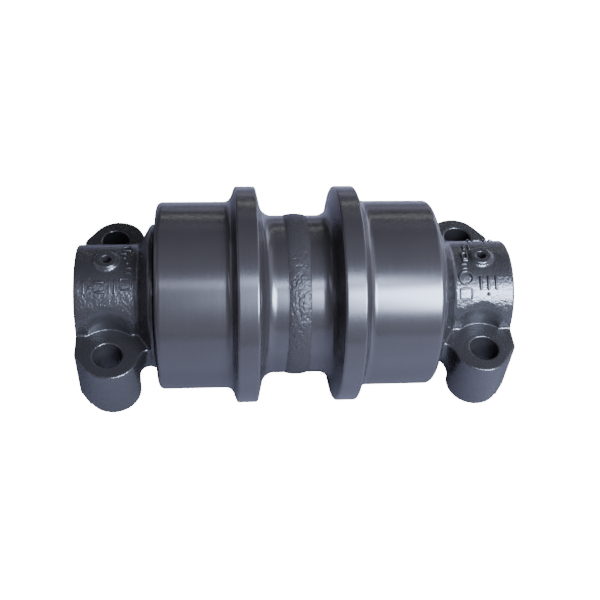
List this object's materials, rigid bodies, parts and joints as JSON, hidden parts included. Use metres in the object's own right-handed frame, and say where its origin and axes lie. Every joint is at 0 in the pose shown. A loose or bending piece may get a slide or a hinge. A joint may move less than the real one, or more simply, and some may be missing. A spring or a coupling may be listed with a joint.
{
  "type": "track roller",
  "caption": "Flanged track roller: a welded shell turns on a fixed shaft that is held at both ends by cast collars with bolt bosses.",
  "frame": {"origin": "on the shaft's axis at mid-length, which is the centre of the whole part's box", "axes": "+Y along the shaft to its plugged end, +Z from the mounting faces towards the lock pins, +X towards the front bolts"},
  "size_m": [0.186, 0.366, 0.186],
  "materials": {
    "shell_paint": "satin",
    "weld_paint": "satin",
    "collar_paint": "gloss",
    "bronze": "satin",
    "seal_iron": "satin",
    "rubber": "matte",
    "ground_steel": "satin",
    "plug_steel": "satin",
    "washer_copper": "satin"
  },
  "bodies": {
    "axle": {"shaft": "ground_steel", "collar_left": "collar_paint", "collar_right": "collar_paint", "seal_ring_fixed_left": "seal_iron", "seal_ring_fixed_right": "seal_iron", "toric_fixed_left": "rubber", "toric_fixed_right": "rubber", "shaft_o_ring_left": "rubber", "shaft_o_ring_right": "rubber", "lock_pin_left": "ground_steel", "lock_pin_right": "ground_steel", "oil_plug": "plug_steel", "plug_washer": "washer_copper"},
    "roller": {"roller_half_left": "shell_paint", "roller_half_right": "shell_paint", "weld_bead": "weld_paint", "bush_left": "bronze", "bush_right": "bronze", "seal_ring_rotating_left": "seal_iron", "seal_ring_rotating_right": "seal_iron", "toric_rotating_left": "rubber", "toric_rotating_right": "rubber"}
  },
  "joints": [
    {"name": "roller_spin", "type": "hinge", "parent": "axle", "child": "roller", "pos_m": [0, 0, 0], "axis": [0, 1, 0], "continuous": true}
  ]
}
